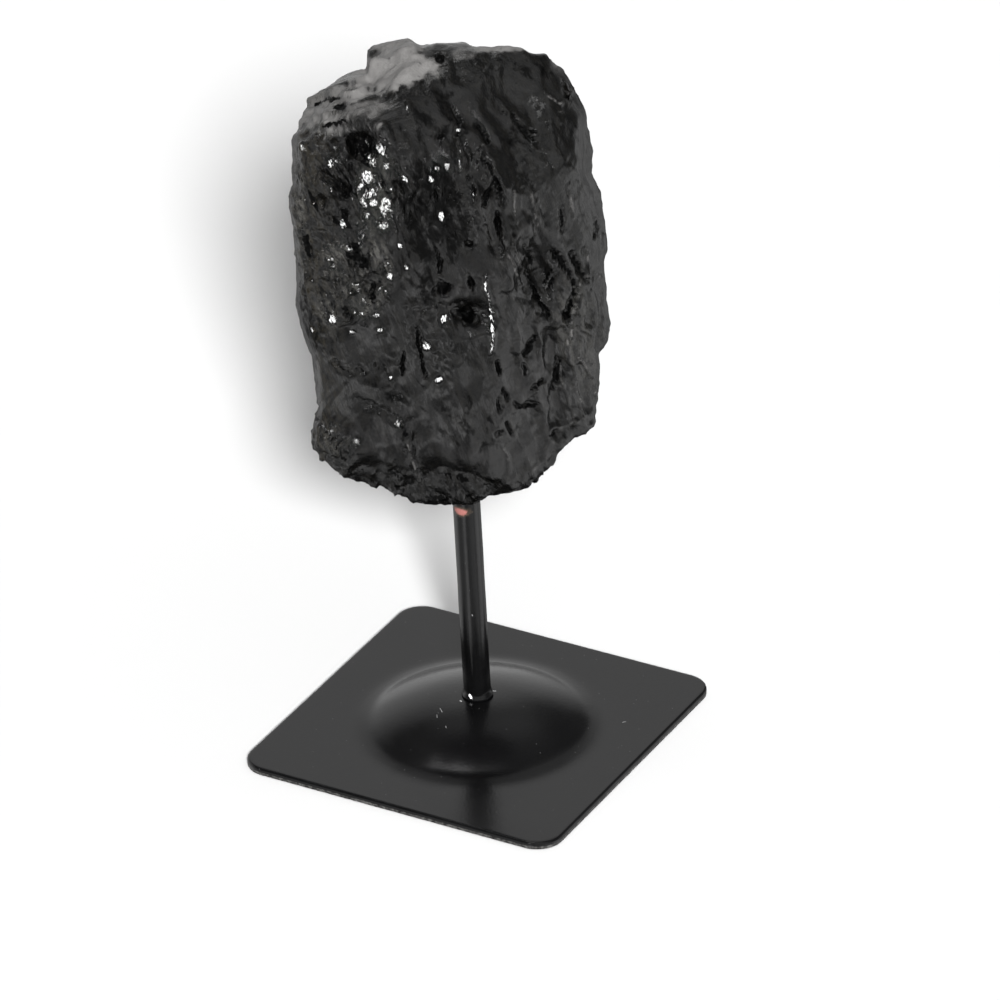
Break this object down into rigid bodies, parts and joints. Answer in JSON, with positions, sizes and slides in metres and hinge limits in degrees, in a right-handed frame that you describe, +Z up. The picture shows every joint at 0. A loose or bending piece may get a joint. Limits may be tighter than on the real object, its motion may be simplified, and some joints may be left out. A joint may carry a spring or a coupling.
{
  "type": "black tourmaline on stand",
  "caption": "Rough black tourmaline chunk held upright on a painted steel rod that stands on a square sheet base with a pressed dome.",
  "frame": {"origin": "middle of the base's underside, on the surface it stands on", "axes": "+Z up, X and Y along the base's sides; the stone's broad side faces between -Y and +X"},
  "size_m": [0.09, 0.09, 0.1929],
  "materials": {
    "base_paint": "satin black paint",
    "stem_paint": "semi-gloss black paint, worn to primer in one spot",
    "black_tourmaline": "glossy broken crystal"
  },
  "bodies": {
    "root": {"base_plate": "base_paint", "stem": "stem_paint", "tourmaline": "black_tourmaline"}
  },
  "joints": []
}
